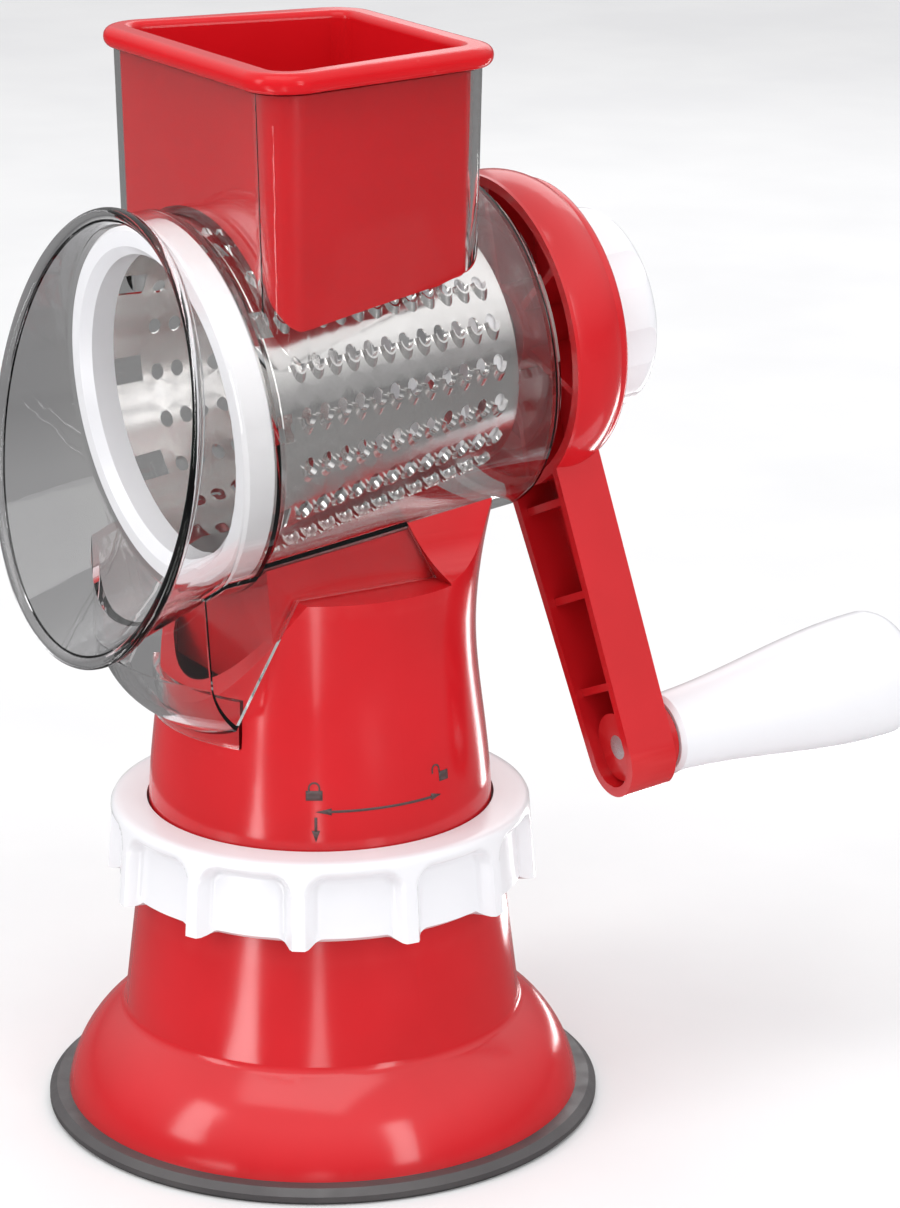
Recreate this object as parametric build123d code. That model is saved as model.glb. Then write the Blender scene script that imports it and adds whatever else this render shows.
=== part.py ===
"""Rotary drum shredder on a suction base, in millimetres.

Frame: +Z up. The drum's axis lies in the plane X = 0, its outlet towards -Y and its crank
towards +Y, a few degrees lower at the outlet. The origin is the centre of the suction pad's
underside. Pieces on the drum's axis are drawn in a frame of their own, where Y is that axis.
"""
from build123d import *
from math import atan, cos, degrees, radians, sin
import os

# ------------------------------------------------------------------ driving dimensions
running_gap = 0.06        # radial clearance of a shaft in its bearing
moving_gap = 0.4          # clearance between faces that pass each other
seat_gap = 0.3            # clearance between a piece and what it rests on

# suction pad
pad_radius = 72.5
pad_rim_height = 4.0
pad_bevel = 1.9
pad_floor = 2.7           # rubber below the stem's foot
pad_web = 3.0             # thickness of the flexible web
pad_hub_radius = 22.0
pad_hub_height = 9.5

# base housing: a bell that stands on the pad, a cone, and a deck that carries the lock ring
base_wall = 2.6
pad_border = 5.2          # how far the pad shows outside the bell
bell_bulge = 4.1          # how much narrower the bell is at the bulge's height
bell_bulge_height = 15.5
cone_foot_radius = 52.0
cone_foot_height = 27.0
cone_top_radius = 47.7
deck_height = 62.0
deck_thickness = 2.5

# lift mechanism inside the base
stem_radius = 5.5
foot_radius = 16.0
foot_thickness = 2.6
stem_flange_radius = 10.5
stem_flange_thickness = 2.0
stem_flange_height = 12.0
stem_top = 75.0
guide_wall = 3.0
pin_radius = 2.0
pin_height = 69.5
washer_thickness = 1.2
spring_radius = 8.6       # mean radius of the return spring
spring_wire = 1.6
lift_travel = 4.0         # how far the lock ring raises the pad's centre
lock_angle = 48.0         # turn of the lock ring between open and locked

# lock ring
ring_bottom = 61.4
ring_top = 84.0
ring_radius = 52.0
ring_wall = 3.2
ring_lip = 3.0            # thickness of the inward lip under the ring's top face
ridge_count = 12
ridge_width = 6.2
ridge_top_radius = 54.6
ridge_foot_radius = 56.1
ridge_phase = 59.0 - 90.0 - 4.0  # one ridge stands four degrees off the viewing direction
web_thickness = 2.6
cam_width = 6.0
post_count = 3
post_radius = 4.6
post_circle = 33.0
screw_radius = 1.7
screw_head_radius = 3.4
screw_head_height = 2.4
screw_grip = 11.0         # length of thread in the column

# column
column_wall = 3.2
column_foot_radius = 44.5
column_low_radius = 42.4
column_low_height = 107.0
waist_radius = 40.4
waist_height = 129.0
column_high_radius = 42.8
column_high_height = 154.0
column_top_radius = 46.4
column_top_height = 170.0
spigot_depth = 4.0        # how far the column's foot reaches into the lock ring
ledge_height = 147.0      # where the column's side walls end under the clear foot
ledge_back = 17.0         # how far back (+Y) the low side walls run
deck_plate = 2.6          # red deck between the side walls and the saddle
parting_front = -39.5     # front end (Y) of the slanted parting line with the clear foot
parting_back = -22.6      # its rear end, at the ledge
parting_drop = 28.6       # how far it falls from the ledge to its front end
end_wall_lean = 0.54      # how far the wall behind the ledge leans forward for its height
end_wall = 3.0
saddle_half_width = 28.0
saddle_front = -33.5
saddle_back = 44.0
saddle_wall = 2.6
shoulder_round = 12.0     # hollow round above the column's shoulders, behind the ledges
shoulder_front = 4.0      # front end (Y) of that round
saddle_depth = 84.0       # how far the saddle's sides reach below the drum's axis

# drum's axis
axis_height = 195.8
axis_tilt = 4.5

# clear housing
clear_wall = 2.0
chamber_front = -46.5
chamber_front_radius = 48.6
chamber_step = -37.0      # where the wide seat of the drum's front ring ends
chamber_step_radius = 46.6
chamber_back = 46.8
chamber_back_radius = 44.2
chamber_back_round = 2.8
bearing_wall = 2.6
bearing_length = 3.4      # how far the bearing boss stands out behind the housing
flare_center_y = -62.3
flare_center_height = 187.1
flare_half_width = 52.6
flare_half_height = 55.3
flare_tilt = 10.3         # the mouth leans back, its lower edge forward
flare_bead = 1.5
foot_half_width = 31.0
bowl_drop = 7.4           # the clear bowl's underside below the parting line's front end
bowl_low_radius = 43.4
bowl_round_radius = 50.2
bowl_round_rise = 4.6     # of the bowl's rounded underside
bowl_high_radius = 56.6
bowl_high_rise = 17.0
collar_radius = 42.9
collar_wall = 1.7
collar_depth = 9.8        # how far the collar reaches below the parting line's front end
collar_overlap = 3.0      # how far it reaches up into the bowl
collar_half_angle = 33.0

# feed chute and pusher: a trapezium in plan, wider at the outlet end
rim_front = -38.8
rim_back = 33.5
rim_front_half = 48.7
rim_back_half = 37.6
rim_corner = 12.0
rim_height = 5.2
rim_top = 281.0
rim_round = 2.5
well_round = 1.9          # of the edge between the pusher's rim and its well
chute_inset = 2.6         # chute's outer wall inside the edge of the pusher's rim
chute_low = 200.0         # height at which the draft is measured
chute_draft = 1.8         # how much narrower each side is there
pusher_gap = 0.8
pusher_wall = 2.2
pusher_drum_gap = 7.4     # between the drum's sheet and the pusher's hollow underside

# drum
drum_front = -43.0
drum_back = 40.0
drum_front_radius = 42.6
drum_back_radius = 31.6
sheet_thickness = 0.6
tooth_rows = 20
tooth_columns = 12
tooth_front = -25.0       # station of the first hole in a row
tooth_pitch = 5.35        # along the drum
tooth_phase = 4.5
hole_half_width = 1.6     # along the drum
hole_half_length = 2.15   # around the drum
tongue_height = 1.3
tongue_foot_half_width = 2.45
tongue_foot_half_length = 4.9
tongue_top_half_width = 1.95
tongue_top_half_length = 2.7
tab_slots = 10
tab_slot_length = 7.0     # around the drum
tab_slot_width = 7.6      # along the drum
tab_slot_station = -32.8
tab_slot_phase = 2.0
front_ring_radius = 45.9
front_ring_front = -45.9
front_ring_back = -37.4
front_ring_mouth = 38.6
front_ring_lip = 2.4      # of the round from the ring's mouth to its front face
hub_disc_thickness = 3.0
hub_spokes = 5
hub_spoke_width = 6.4
hub_rim = 3.0             # radial thickness of the hub's rim
hub_rim_depth = 4.0       # how far the rim reaches in front of its spokes

# drive
shaft_radius = 8.0
shaft_square = 11.0
shaft_front = 34.0
shaft_shoulder = 55.0     # where the round journal ends and the square begins
shaft_back = 66.0
bush_wall = 2.2
bush_flange = 1.6
stud_radius = 3.0
lug_radius = 1.2
lug_length = 9.4
lug_cavity_radius = 5.1

# crank and knob
crank_wall = 2.6
dish_front = 52.0
dish_back = 70.7
dish_back_radius = 37.9
dish_shoulder = 41.2      # radius of the dish where its side begins to round over
dish_round = 3.4          # of the edge round the back of the dish
dish_ribs = 6
dish_rib_phase = 20.0
hub_radius = 11.5
hub_setback = 3.2         # of the hub's front face behind the dish's rim
rib_setback = 5.0         # of the ribs' front edges behind it
crank_radius = 112.0
crank_angle = 23.5        # of the arm from straight down towards +X, as photographed
arm_end_radius = 10.5
arm_end_offset = 2.0      # the arm's round end is drawn about a point below the grip
arm_root_half_width = 14.0
arm_root = 26.0
arm_back = 65.5
arm_rib_pitch = 24.5
arm_ribs = 3
arm_rib_offset = 6.0      # of the first rib from the dish
arm_rib_wall = 2.0
knob_radius = 26.7
knob_back = 87.6
knob_wall = 2.4
knob_flutes = 8
knob_flute_radius = 16.0
knob_flute_depth = 1.3
knob_flute_phase = 10.0
knob_round = 4.6
boss_radius = 9.0
boss_height = 2.6
boss_setback = 3.0        # of the boss's front face in the arm's hollow

# grip
grip_length = 75.0
grip_root_radius = 10.6
grip_end_radius = 17.0
grip_pin_radius = 3.2
grip_pin_reach = 56.0
grip_washer_radius = 6.6
grip_washer_thickness = 1.2
grip_cap_radius = 6.2
grip_cap_thickness = 2.8

# ------------------------------------------------------------------ places worked out from them
bell_radius = pad_radius - pad_border
bell_bulge_radius = bell_radius - bell_bulge
parting_front_height = ledge_height - parting_drop
collar_top = parting_front_height
collar_bottom = collar_top - collar_depth
bowl_low = parting_front_height - bowl_drop
bowl_round_height = bowl_low + bowl_round_rise
bowl_high_height = bowl_low + bowl_high_rise
arm_end_center = crank_radius + arm_end_offset
guide_bore = stem_radius + 2.2
guide_radius = guide_bore + guide_wall
cam_bore = guide_radius + moving_gap
cam_radius = cam_bore + cam_width
web_bottom = deck_height + seat_gap
plate_bottom = ring_top - spigot_depth
ring_inner_radius = ring_radius - ring_wall
lip_radius = column_foot_radius + moving_gap + 0.2
ramp_pitch = lift_travel * 360.0 / lock_angle
chute_top = rim_top - rim_height - seat_gap
bush_bore = shaft_radius + running_gap
bush_radius = bush_bore + bush_wall
boss_back = chamber_back + bearing_length
wall_front = chamber_back - clear_wall
bush_front = wall_front - 1.1 - bush_flange
arm_front = dish_front
grip_front = arm_back + boss_height + moving_gap
drum_length = drum_back - drum_front


def drum_radius(station):
    """Outer radius of the conical sheet at a station along the drum's axis."""
    share = (station - drum_front) / drum_length
    return drum_front_radius + share * (drum_back_radius - drum_front_radius)


def turned_angle(angle):
    """Rotation about the drum's axis that carries local +X up by an angle in degrees."""
    return Rot(0, -angle, 0)


# ------------------------------------------------------------------ helpers
def on_drum_axis(shape):
    """Moves a shape drawn about local Y onto the tilted axis of the drum."""
    return Pos(0, 0, axis_height) * Rot(axis_tilt, 0, 0) * shape


def turned(*outline):
    """Solid of revolution about Z from outline edges or (radius, height) points."""
    return revolve(Plane.XZ * closed_face(outline), Axis.Z)


def turned_on_y(*outline):
    """Solid of revolution about Y from outline edges or (radius, station) points."""
    return revolve(closed_face(outline), Axis.Y)


def closed_face(outline):
    """Face inside a closed outline of points, or of edges that meet end to end."""
    if isinstance(outline[0], tuple):
        return make_face(Polyline(*outline, close=True))
    return make_face(Curve() + list(outline))


def upright_cylinder(radius, low, high):
    return Pos(0, 0, low) * extrude(Circle(radius), high - low)


def cylinder_on_y(radius, front, back):
    return Pos(0, front, 0) * Rot(-90, 0, 0) * extrude(Circle(radius), back - front)


def spanning_box(x, y, z):
    """Box between the two values given for each axis."""
    center = Pos((x[0] + x[1]) / 2, (y[0] + y[1]) / 2, (z[0] + z[1]) / 2)
    return center * Box(x[1] - x[0], y[1] - y[0], z[1] - z[0])


def around_z(shape, count, phase=0.0):
    return [Rot(0, 0, phase + 360.0 * step / count) * shape for step in range(count)]


def around_y(shape, count, phase=0.0):
    return [Rot(0, phase + 360.0 * step / count, 0) * shape for step in range(count)]


# ------------------------------------------------------------------ suction pad and lift mechanism
def suction_pad():
    hole = stem_radius + moving_gap
    pocket = foot_radius + seat_gap
    pocket_top = pad_floor + foot_thickness + 2 * seat_gap
    edge = pad_radius - 1.0
    return turned(
        (0, 0), (edge, 0), (pad_radius, 1.0), (pad_radius, pad_rim_height - pad_bevel + 0.3),
        (pad_radius - pad_bevel, pad_rim_height), (bell_radius - 8, pad_rim_height),
        (bell_radius - 12, pad_web), (pad_hub_radius + 4, pad_web), (pad_hub_radius, pad_hub_height),
        (hole, pad_hub_height), (hole, pocket_top), (pocket, pocket_top), (pocket, pad_floor),
        (0, pad_floor))


def lift_stem():
    foot_low = pad_floor + seat_gap
    foot_high = foot_low + foot_thickness
    flange_high = stem_flange_height + stem_flange_thickness
    stem = turned(
        (0, foot_low), (foot_radius, foot_low), (foot_radius, foot_high), (stem_radius, foot_high),
        (stem_radius, stem_flange_height), (stem_flange_radius, stem_flange_height),
        (stem_flange_radius, flange_high), (stem_radius, flange_high),
        (stem_radius, stem_top - 1), (stem_radius - 1, stem_top), (0, stem_top))
    pin_hole = Pos(0, 0, pin_height) * Rot(0, 90, 0) * Cylinder(pin_radius + 0.02, 4 * stem_radius)
    return stem - pin_hole


def cross_pin():
    length = 2 * (cam_radius - 0.6)
    return Pos(0, 0, pin_height) * Rot(0, 90, 0) * Cylinder(pin_radius, length)


def spring_washer():
    low = stem_flange_height + stem_flange_thickness
    washer = upright_cylinder(stem_flange_radius + 1.5, low, low + washer_thickness)
    return washer - upright_cylinder(stem_radius + moving_gap, low - 1, low + 2 * washer_thickness)


def return_spring():
    """Compression spring between the washer and the deck, drawn as its outer sleeve."""
    low = stem_flange_height + stem_flange_thickness + washer_thickness
    high = deck_height - deck_thickness - seat_gap
    sleeve = upright_cylinder(spring_radius + spring_wire / 2, low, high)
    return sleeve - upright_cylinder(spring_radius - spring_wire / 2, low - 1, high + 1)


# ------------------------------------------------------------------ base housing and lock ring
def base_profile(inset):
    """Outline of the bell and cone from the pad up to the deck, moved inwards by inset."""
    bell = ThreePointArc(
        (bell_radius - inset, pad_rim_height),
        (bell_bulge_radius - inset, bell_bulge_height - inset * 0.4),
        (cone_foot_radius - inset, cone_foot_height - inset * 0.6))
    cone = Line(bell @ 1, (cone_top_radius - inset, deck_height - (deck_thickness if inset else 0)))
    deck = Line(cone @ 1, (0, (cone @ 1).Y))
    center = Line(deck @ 1, (0, pad_rim_height))
    floor = Line(center @ 1, bell @ 0)
    return bell, cone, deck, center, floor


def base_housing():
    shell = turned(*base_profile(0)) - turned(*base_profile(base_wall))
    crease = [e for e in shell.edges().filter_by(GeomType.CIRCLE)
              if abs(e.radius - cone_foot_radius) < 0.01]
    shell = fillet(crease, 3.0)
    shell += upright_cylinder(guide_radius, deck_height - deck_thickness, plate_bottom - seat_gap)
    post = Pos(post_circle, 0, 0) * upright_cylinder(post_radius, deck_height - 1, plate_bottom)
    shell += around_z(post, post_count)
    bolt = Pos(post_circle, 0, 0) * upright_cylinder(screw_radius + 0.2, deck_height - 9, plate_bottom + 1)
    shell -= around_z(bolt, post_count)
    shell -= upright_cylinder(guide_bore, deck_height - 9, plate_bottom + 1)
    slot_low = pin_height - pin_radius - moving_gap
    slot = spanning_box((-2 * guide_radius, 2 * guide_radius),
                        (-pin_radius - moving_gap / 2, pin_radius + moving_gap / 2),
                        (slot_low, plate_bottom + 1))
    shell -= slot & upright_cylinder(guide_radius + 1, slot_low, plate_bottom + 1)
    return shell


def lock_ring():
    skirt_slope = 1.0
    skirt = turned(
        (cone_top_radius + moving_gap, ring_bottom + 1.2), (ring_radius + skirt_slope, ring_bottom + 1.2),
        (ring_radius, ring_top - 1.4), (ring_radius - 1.6, ring_top - 0.3),
        (lip_radius, ring_top), (lip_radius, ring_top - ring_lip),
        (ring_inner_radius, ring_top - ring_lip - 2), (ring_inner_radius, ring_bottom + 3))
    ridge_face = Plane.XZ * Polyline(
        (ring_radius - 2, ring_bottom + 1.2), (ridge_foot_radius - 1, ring_bottom),
        (ridge_foot_radius, ring_bottom + 1), (ridge_top_radius, ring_top - 2.4),
        (ridge_top_radius - 1.4, ring_top - 0.8), (ring_radius - 2, ring_top - 0.6), close=True)
    ridge = extrude(make_face(ridge_face), ridge_width / 2, both=True)
    outer_edges = [e for e in ridge.edges() if e.center().X > ridge_top_radius - 0.8
                   and abs(abs(e.center().Y) - ridge_width / 2) < 0.01]
    ridge = fillet(outer_edges, 1.5)
    ring = skirt + around_z(ridge, ridge_count, ridge_phase)
    web = upright_cylinder(ring_inner_radius + 0.5, web_bottom, web_bottom + web_thickness)
    web -= upright_cylinder(cam_bore, web_bottom - 1, web_bottom + web_thickness + 1)
    ring += web
    ring += cam_ramps()
    return ring - around_z(post_slot(), post_count)


def post_slot():
    """Arc slot in the ring's web that lets it turn past a post."""
    clearance = post_radius + 2 * moving_gap
    margin = degrees(clearance / post_circle)
    height = 2 * web_thickness
    band = upright_cylinder(post_circle + clearance, web_bottom - 1, web_bottom + height)
    band -= upright_cylinder(post_circle - clearance, web_bottom - 2, web_bottom + height + 1)
    sector = Pos(0, 0, web_bottom - 3) * extrude(
        make_face(sector_outline(2 * post_circle, -margin, lock_angle + margin)), height + 5)
    return band & sector


def sector_outline(radius, start, end):
    """Closed outline of a pie slice between two angles in degrees."""
    first = (radius * cos(radians(start)), radius * sin(radians(start)))
    middle = (radius * cos(radians((start + end) / 2)), radius * sin(radians((start + end) / 2)))
    last = (radius * cos(radians(end)), radius * sin(radians(end)))
    return [Line((0, 0), first), ThreePointArc(first, middle, last), Line(last, (0, 0))]


def cam_ramps():
    """Two helical ramps on the ring's hub, whose tops carry the cross pin."""
    margin = 12.0
    sweep_angle = lock_angle + 2 * margin
    mean_radius = (cam_bore + cam_radius) / 2
    top_at_start = pin_height - pin_radius - seat_gap - lift_travel * margin / lock_angle
    depth = 9.0
    path = Pos(0, 0, top_at_start) * Rot(0, 0, -margin) * Helix(
        ramp_pitch, ramp_pitch * sweep_angle / 360.0, mean_radius)
    start = path.position_at(0)
    section_plane = Plane(origin=start, x_dir=(start.X, start.Y, 0), z_dir=path.tangent_at(0))
    section = section_plane * Pos(0, depth / 2) * Rectangle(cam_width, depth)
    ramp = sweep(section, path, is_frenet=True)
    ramp &= upright_cylinder(2 * cam_radius, web_bottom, ring_top)
    sleeve = upright_cylinder(cam_radius, web_bottom, web_bottom + web_thickness)
    sleeve -= upright_cylinder(cam_bore, web_bottom - 1, ring_top)
    return sleeve + ramp + Rot(0, 0, 180) * ramp


# ------------------------------------------------------------------ column
def column_outline(inset, low):
    """Outline of the column's waisted body, moved inwards by inset."""
    side = Spline(
        (column_foot_radius - inset, ring_top), (column_low_radius - inset, column_low_height),
        (waist_radius - inset, waist_height), (column_high_radius - inset, column_high_height),
        (column_top_radius - inset, column_top_height))
    top = Line(side @ 1, (0, column_top_height))
    center = Line(top @ 1, (0, low))
    floor = Line(center @ 1, (column_foot_radius - inset, low))
    foot = Line(floor @ 1, side @ 0)
    return side, top, center, floor, foot


def parting_block(gap):
    """What lies in front of the slanted parting line and above the ledges."""
    slope = (ledge_height - parting_front_height) / (parting_back - parting_front)
    reach = 40.0
    lean = end_wall_lean * (axis_height - ledge_height)
    outline = [(parting_front - reach, parting_front_height - slope * reach + gap),
               (parting_back, ledge_height + gap), (ledge_back - gap, ledge_height + gap),
               (ledge_back - gap - lean, axis_height), (parting_front - reach, axis_height)]
    return extrude(Plane.YZ * make_face(Polyline(*outline, close=True)), 80, both=True)


def end_wall_slab():
    """Slab behind the leaning end of the ledges, which closes the column's hollow there."""
    lean = end_wall_lean * (axis_height - ledge_height)
    low = ledge_height - deck_plate
    outline = [(ledge_back, low), (ledge_back, ledge_height), (ledge_back - lean, axis_height),
               (ledge_back - lean + end_wall, axis_height), (ledge_back + end_wall, ledge_height),
               (ledge_back + end_wall, low)]
    return extrude(Plane.YZ * make_face(Polyline(*outline, close=True)), 80, both=True)


def shoulder_cut(inset):
    """Room above the column's shoulders, rounded down onto them beside the clear foot."""
    side = foot_half_width - inset
    low = ledge_height - inset
    radius = shoulder_round + inset
    reach = side + 2 * column_foot_radius
    half_way = radius * sin(radians(45))
    round_over = ThreePointArc((side, low + radius), (side + radius - half_way, low + radius - half_way),
                               (side + radius, low))
    outline = [round_over, Line(round_over @ 1, (reach, low)), Line((reach, low), (reach, axis_height)),
               Line((reach, axis_height), (side, axis_height)), Line((side, axis_height), round_over @ 0)]
    front = Plane(origin=(0, shoulder_front - inset, 0), x_dir=(1, 0, 0), z_dir=(0, -1, 0))
    cut = extrude(front * make_face(Curve() + outline), -2 * column_top_radius)
    return cut + mirror(cut, Plane.YZ)


def barrel_space():
    """Room that the column leaves for the chamber and for what lies behind it."""
    behind = cylinder_on_y(chamber_back_radius + seat_gap, chamber_back - 4, chamber_back + 20)
    return on_drum_axis(chamber(-seat_gap) + behind)


def saddle():
    """Cradle under the chamber, hollow from below, which the clear foot straddles."""
    half = saddle_half_width
    seat = chamber_step_radius + seat_gap
    block = spanning_box((-half, half), (saddle_front, saddle_back), (-saddle_depth, -20))
    hollow = spanning_box((-half + saddle_wall, half - saddle_wall),
                          (saddle_front + saddle_wall, saddle_back - saddle_wall), (-saddle_depth - 1, -19))
    hollow -= cylinder_on_y(seat + saddle_wall, saddle_front - 1, saddle_back + 1)
    return on_drum_axis(block - hollow) - barrel_space()


def column_deck():
    """Level deck at the ledges, open under the saddle."""
    low = ledge_height - deck_plate
    disc = turned(*column_outline(column_wall / 2, plate_bottom))
    disc &= spanning_box((-60, 60), (parting_back - 6, ledge_back + 3), (low, ledge_height))
    half = saddle_half_width - saddle_wall
    return disc - spanning_box((-half, half), (parting_back - 9, ledge_back), (low - 1, ledge_height + 1))


def column():
    body = turned(*column_outline(0, plate_bottom))
    hollow = turned(*column_outline(column_wall, plate_bottom + column_wall))
    body -= hollow - end_wall_slab() - shoulder_cut(column_wall)
    body -= parting_block(0) + shoulder_cut(0)
    floor_cut = upright_cylinder(90, 0, collar_top + 1)
    inside = turned(*column_outline(column_wall - 0.4, plate_bottom))
    front = spanning_box((-60, 60), (-90, parting_back), (100, 200)) & parting_block(0)
    body += (saddle() & (inside + front)) - floor_cut
    body += column_deck() - parting_block(0)
    boss = Pos(post_circle, 0, 0) * upright_cylinder(post_radius, plate_bottom, plate_bottom + screw_grip + 3)
    body += around_z(boss, post_count)
    hole = upright_cylinder(screw_radius + 0.05, plate_bottom - 1, plate_bottom + screw_grip + 1)
    body -= around_z(Pos(post_circle, 0, 0) * hole, post_count)
    body -= barrel_space()
    return body - collar_band(seat_gap)


def collar_band(gap):
    """Sector of ring that the clear collar fills at the front of the column."""
    band = upright_cylinder(collar_radius + 6 * gap, collar_bottom - gap, collar_top + collar_overlap + gap)
    band -= upright_cylinder(collar_radius - collar_wall - gap, 0, axis_height)
    half = collar_half_angle + degrees(gap / collar_radius)
    sector = extrude(make_face(sector_outline(2 * collar_radius, -90 - half, -90 + half)), axis_height)
    return band & sector


def column_screws():
    low = deck_height - deck_thickness
    shank = upright_cylinder(screw_radius, low - 0.1, plate_bottom + screw_grip)
    head = upright_cylinder(screw_head_radius, low - screw_head_height, low)
    screw = Pos(post_circle, 0, 0) * (shank + head)
    return Compound(children=around_z(screw, post_count))


# ------------------------------------------------------------------ clear housing
def chamber(inset):
    """Tapering barrel round the drum, with a wider seat for the drum's front ring."""
    front = chamber_front - (1 if inset else 0)
    return turned_on_y(
        (0, front), (chamber_front_radius - inset, front),
        (chamber_front_radius - inset, chamber_step - inset * 0.3),
        (chamber_step_radius - inset, chamber_step + 2.6 - inset * 0.3),
        (chamber_back_radius - inset, chamber_back - chamber_back_round - inset * 0.4),
        (chamber_back_radius - chamber_back_round - inset * 0.4, chamber_back - inset),
        (0, chamber_back - inset))


def mouth_plane():
    """Plane of the outlet's oval mouth, leaning back."""
    lean = radians(flare_tilt)
    return Plane(origin=(0, flare_center_y, flare_center_height), x_dir=(1, 0, 0),
                 z_dir=(0, -cos(lean), sin(lean)))


def flare(inset):
    """Loft from the chamber's round front to the leaning oval mouth."""
    mouth = mouth_plane()
    back = chamber_front + (0 if inset else 1.0)
    tilt = radians(axis_tilt)
    center = (0, back * cos(tilt), axis_height + back * sin(tilt))
    root = Plane(origin=center, x_dir=(1, 0, 0), z_dir=(0, -cos(tilt), -sin(tilt)))
    oval = mouth * Ellipse(flare_half_width - inset, flare_half_height - inset)
    ring = root * Circle(chamber_front_radius - inset)
    body = loft([ring, oval])
    if inset:
        reach = mouth * extrude(Ellipse(flare_half_width - inset, flare_half_height - inset), 4)
        body += reach
    return body


def mouth_bead():
    path = mouth_plane() * Ellipse(flare_half_width, flare_half_height).edge()
    start = path.position_at(0)
    section = Plane(origin=start, z_dir=path.tangent_at(0)) * Circle(flare_bead)
    return sweep(section, path)


def hopper_section(inset, height):
    """Plan of the chute or pusher at a height, inset from the rim's edge."""
    share = (rim_top - height) / (rim_top - chute_low)
    inset = inset + share * chute_draft
    corner = max(rim_corner - inset, 1.0)
    outline = Polyline(
        (-rim_front_half + inset, rim_front + inset), (rim_front_half - inset, rim_front + inset),
        (rim_back_half - inset, rim_back - inset), (-rim_back_half + inset, rim_back - inset),
        close=True)
    face = make_face(outline)
    return Pos(0, 0, height) * fillet(face.vertices(), corner)


def hopper(inset, low, high):
    return loft([hopper_section(inset, low), hopper_section(inset, high)])


def foot_block(inset):
    """Bowl and side plates of the clear foot, in front of the parting line and above the ledges."""
    half = foot_half_width - inset
    top = axis_height - 30
    under = ThreePointArc((bowl_low_radius, bowl_low + inset),
                          (bowl_round_radius - inset * 0.7, bowl_round_height + inset * 0.7),
                          (bowl_high_radius - inset, bowl_high_height))
    wall = Line(under @ 1, (bowl_high_radius + 2 - inset, top))
    lid = Line(wall @ 1, (0, top))
    center = Line(lid @ 1, (0, bowl_low + inset))
    floor = Line(center @ 1, under @ 0)
    bowl = turned(under, wall, lid, center, floor)
    bowl &= spanning_box((-half, half), (-2 * pad_radius, ledge_back + 9), (0, rim_top))
    return bowl & parting_block(seat_gap if not inset else -9)


def clear_housing():
    outer = on_drum_axis(chamber(0)) + flare(0)
    boss = cylinder_on_y(bush_radius + bearing_wall, wall_front - 1, boss_back)
    outer += on_drum_axis(boss)
    outer += hopper(chute_inset, axis_height + 6, chute_top)
    shell = outer - on_drum_axis(chamber(clear_wall) - boss)
    shell -= flare(clear_wall)
    shell -= hopper(chute_inset + clear_wall, axis_height, chute_top + 5)
    foot = foot_block(0) - foot_block(clear_wall)
    foot -= on_drum_axis(chamber(0.5))
    foot -= flare(0.8)
    foot -= upright_cylinder(collar_radius - collar_wall, 0, collar_top + 0.5)
    shell += foot
    shell += collar_band(0)
    shell += mouth_bead()
    shell -= on_drum_axis(cylinder_on_y(bush_radius, 0, 90))
    return shell


def crank_bush():
    """Bearing sleeve pressed through the housing's rear wall."""
    bush = cylinder_on_y(bush_radius - 0.05, bush_front, boss_back)
    bush += cylinder_on_y(bush_radius + 1.8, bush_front, wall_front - 1.1)
    bush -= cylinder_on_y(bush_bore, bush_front - 1, boss_back + 1)
    return on_drum_axis(bush)


# ------------------------------------------------------------------ pusher
def pusher_underside(gap):
    """Cone concentric with the drum that hollows the pusher's underside."""
    front = rim_front - 20
    back = rim_back + 20
    return on_drum_axis(turned_on_y(
        (0, front), (drum_radius(front) + gap, front), (drum_radius(back) + gap, back), (0, back)))


def pusher():
    inset = chute_inset + clear_wall + pusher_gap
    body = hopper(inset, axis_height, rim_top - 1)
    rim = hopper(0, rim_top - rim_height, rim_top)
    round_edges = rim.edges().filter_by(lambda e: e.center().Z > rim_top - 0.1)
    rim = fillet(round_edges + rim.edges().filter_by(
        lambda e: e.center().Z < rim_top - rim_height + 0.1), rim_round)
    body += rim
    well = hopper(inset + pusher_wall, axis_height - 1, rim_top + 1)
    well -= pusher_underside(pusher_drum_gap + pusher_wall)
    body -= well
    mouth = body.faces().sort_by(Axis.Z)[-1].inner_wires()[0]
    body = fillet(mouth.edges(), well_round)
    return body - pusher_underside(pusher_drum_gap)


# ------------------------------------------------------------------ drum
def on_sheet(station):
    """Plane that touches the cone at a station: X along the drum, Y around it, Z outwards."""
    slope = atan((drum_front_radius - drum_back_radius) / drum_length)
    return Plane(origin=(drum_radius(station), station, 0), x_dir=(-sin(slope), cos(slope), 0),
                 z_dir=(cos(slope), sin(slope), 0))


def tongue(station):
    """Raised lower lip of a tooth, which falls back to the sheet away from the hole."""
    plane = on_sheet(station)
    foot = plane * Pos(0, 0, -0.9 * sheet_thickness) * Ellipse(tongue_foot_half_width, tongue_foot_half_length)
    top = plane * Pos(0, 0, tongue_height) * Ellipse(tongue_top_half_width, tongue_top_half_length)
    size = 4 * tongue_foot_half_length
    return loft([foot, top]) - plane * Pos(0, size / 2, 0) * Box(size, size, size)


def all_teeth(shape_at):
    """Copies of a shape, given for a station, at every tooth of the drum."""
    shapes = []
    for column_step in range(tooth_columns):
        shape = shape_at(tooth_front + column_step * tooth_pitch)
        shapes += [turned_angle(tooth_phase + 360.0 * row / tooth_rows) * shape for row in range(tooth_rows)]
    return shapes


def tooth_hole(station):
    height = 4 * tongue_height
    return on_sheet(station) * Pos(0, 0, -height / 2) * extrude(Ellipse(hole_half_width, hole_half_length), height)


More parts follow.
